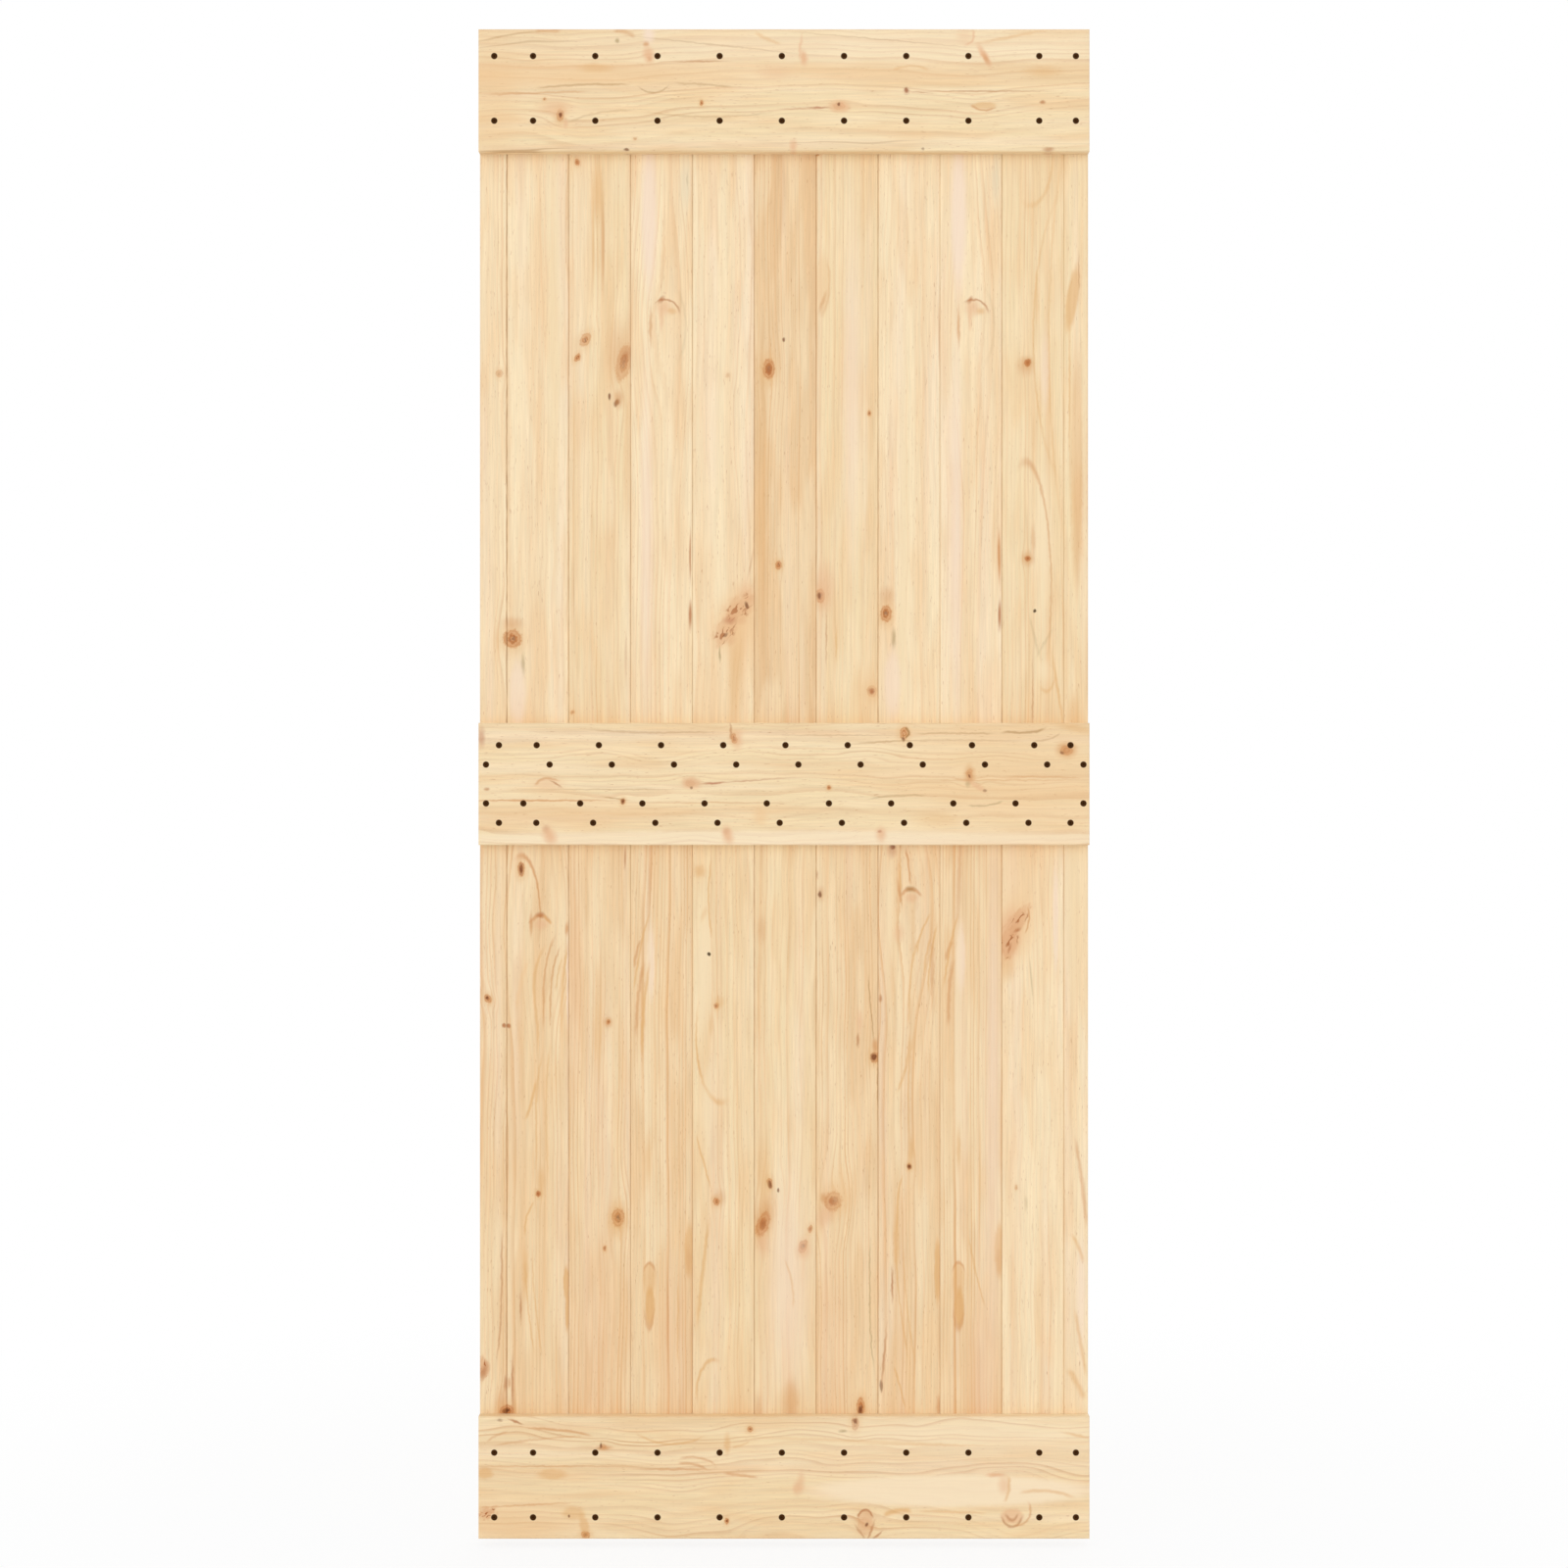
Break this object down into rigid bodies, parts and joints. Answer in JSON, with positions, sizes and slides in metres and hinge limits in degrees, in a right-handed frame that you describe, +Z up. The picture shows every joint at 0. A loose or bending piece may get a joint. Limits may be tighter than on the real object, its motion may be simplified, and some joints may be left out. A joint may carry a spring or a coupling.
{
  "type": "sliding door leaf",
  "caption": "Ledged pine leaf of a sliding door: upright tongued and grooved boards screwed behind broad cross ledges, with a flat top ledge to take hanger straps.",
  "frame": {"origin": "centre of the top ledge's front face, where hanger straps bear", "axes": "+X to the right seen from the ledged front, +Y from the front towards the wall behind, +Z up the leaf"},
  "size_m": [0.85, 0.04, 2.1],
  "materials": {
    "board_pine": "planed and bare",
    "ledge_pine": "sanded and bare",
    "screw_black": "dull black coated steel"
  },
  "bodies": {
    "root": {"upper_starter": "board_pine", "upper_board_1": "board_pine", "upper_board_2": "board_pine", "upper_board_3": "board_pine", "upper_board_4": "board_pine", "upper_board_5": "board_pine", "upper_board_6": "board_pine", "upper_board_7": "board_pine", "upper_board_8": "board_pine", "upper_board_9": "board_pine", "upper_closer": "board_pine", "lower_starter": "board_pine", "lower_board_1": "board_pine", "lower_board_2": "board_pine", "lower_board_3": "board_pine", "lower_board_4": "board_pine", "lower_board_5": "board_pine", "lower_board_6": "board_pine", "lower_board_7": "board_pine", "lower_board_8": "board_pine", "lower_board_9": "board_pine", "lower_closer": "board_pine", "top_ledge": "ledge_pine", "middle_ledge": "ledge_pine", "bottom_ledge": "ledge_pine"}
  },
  "joints": []
}
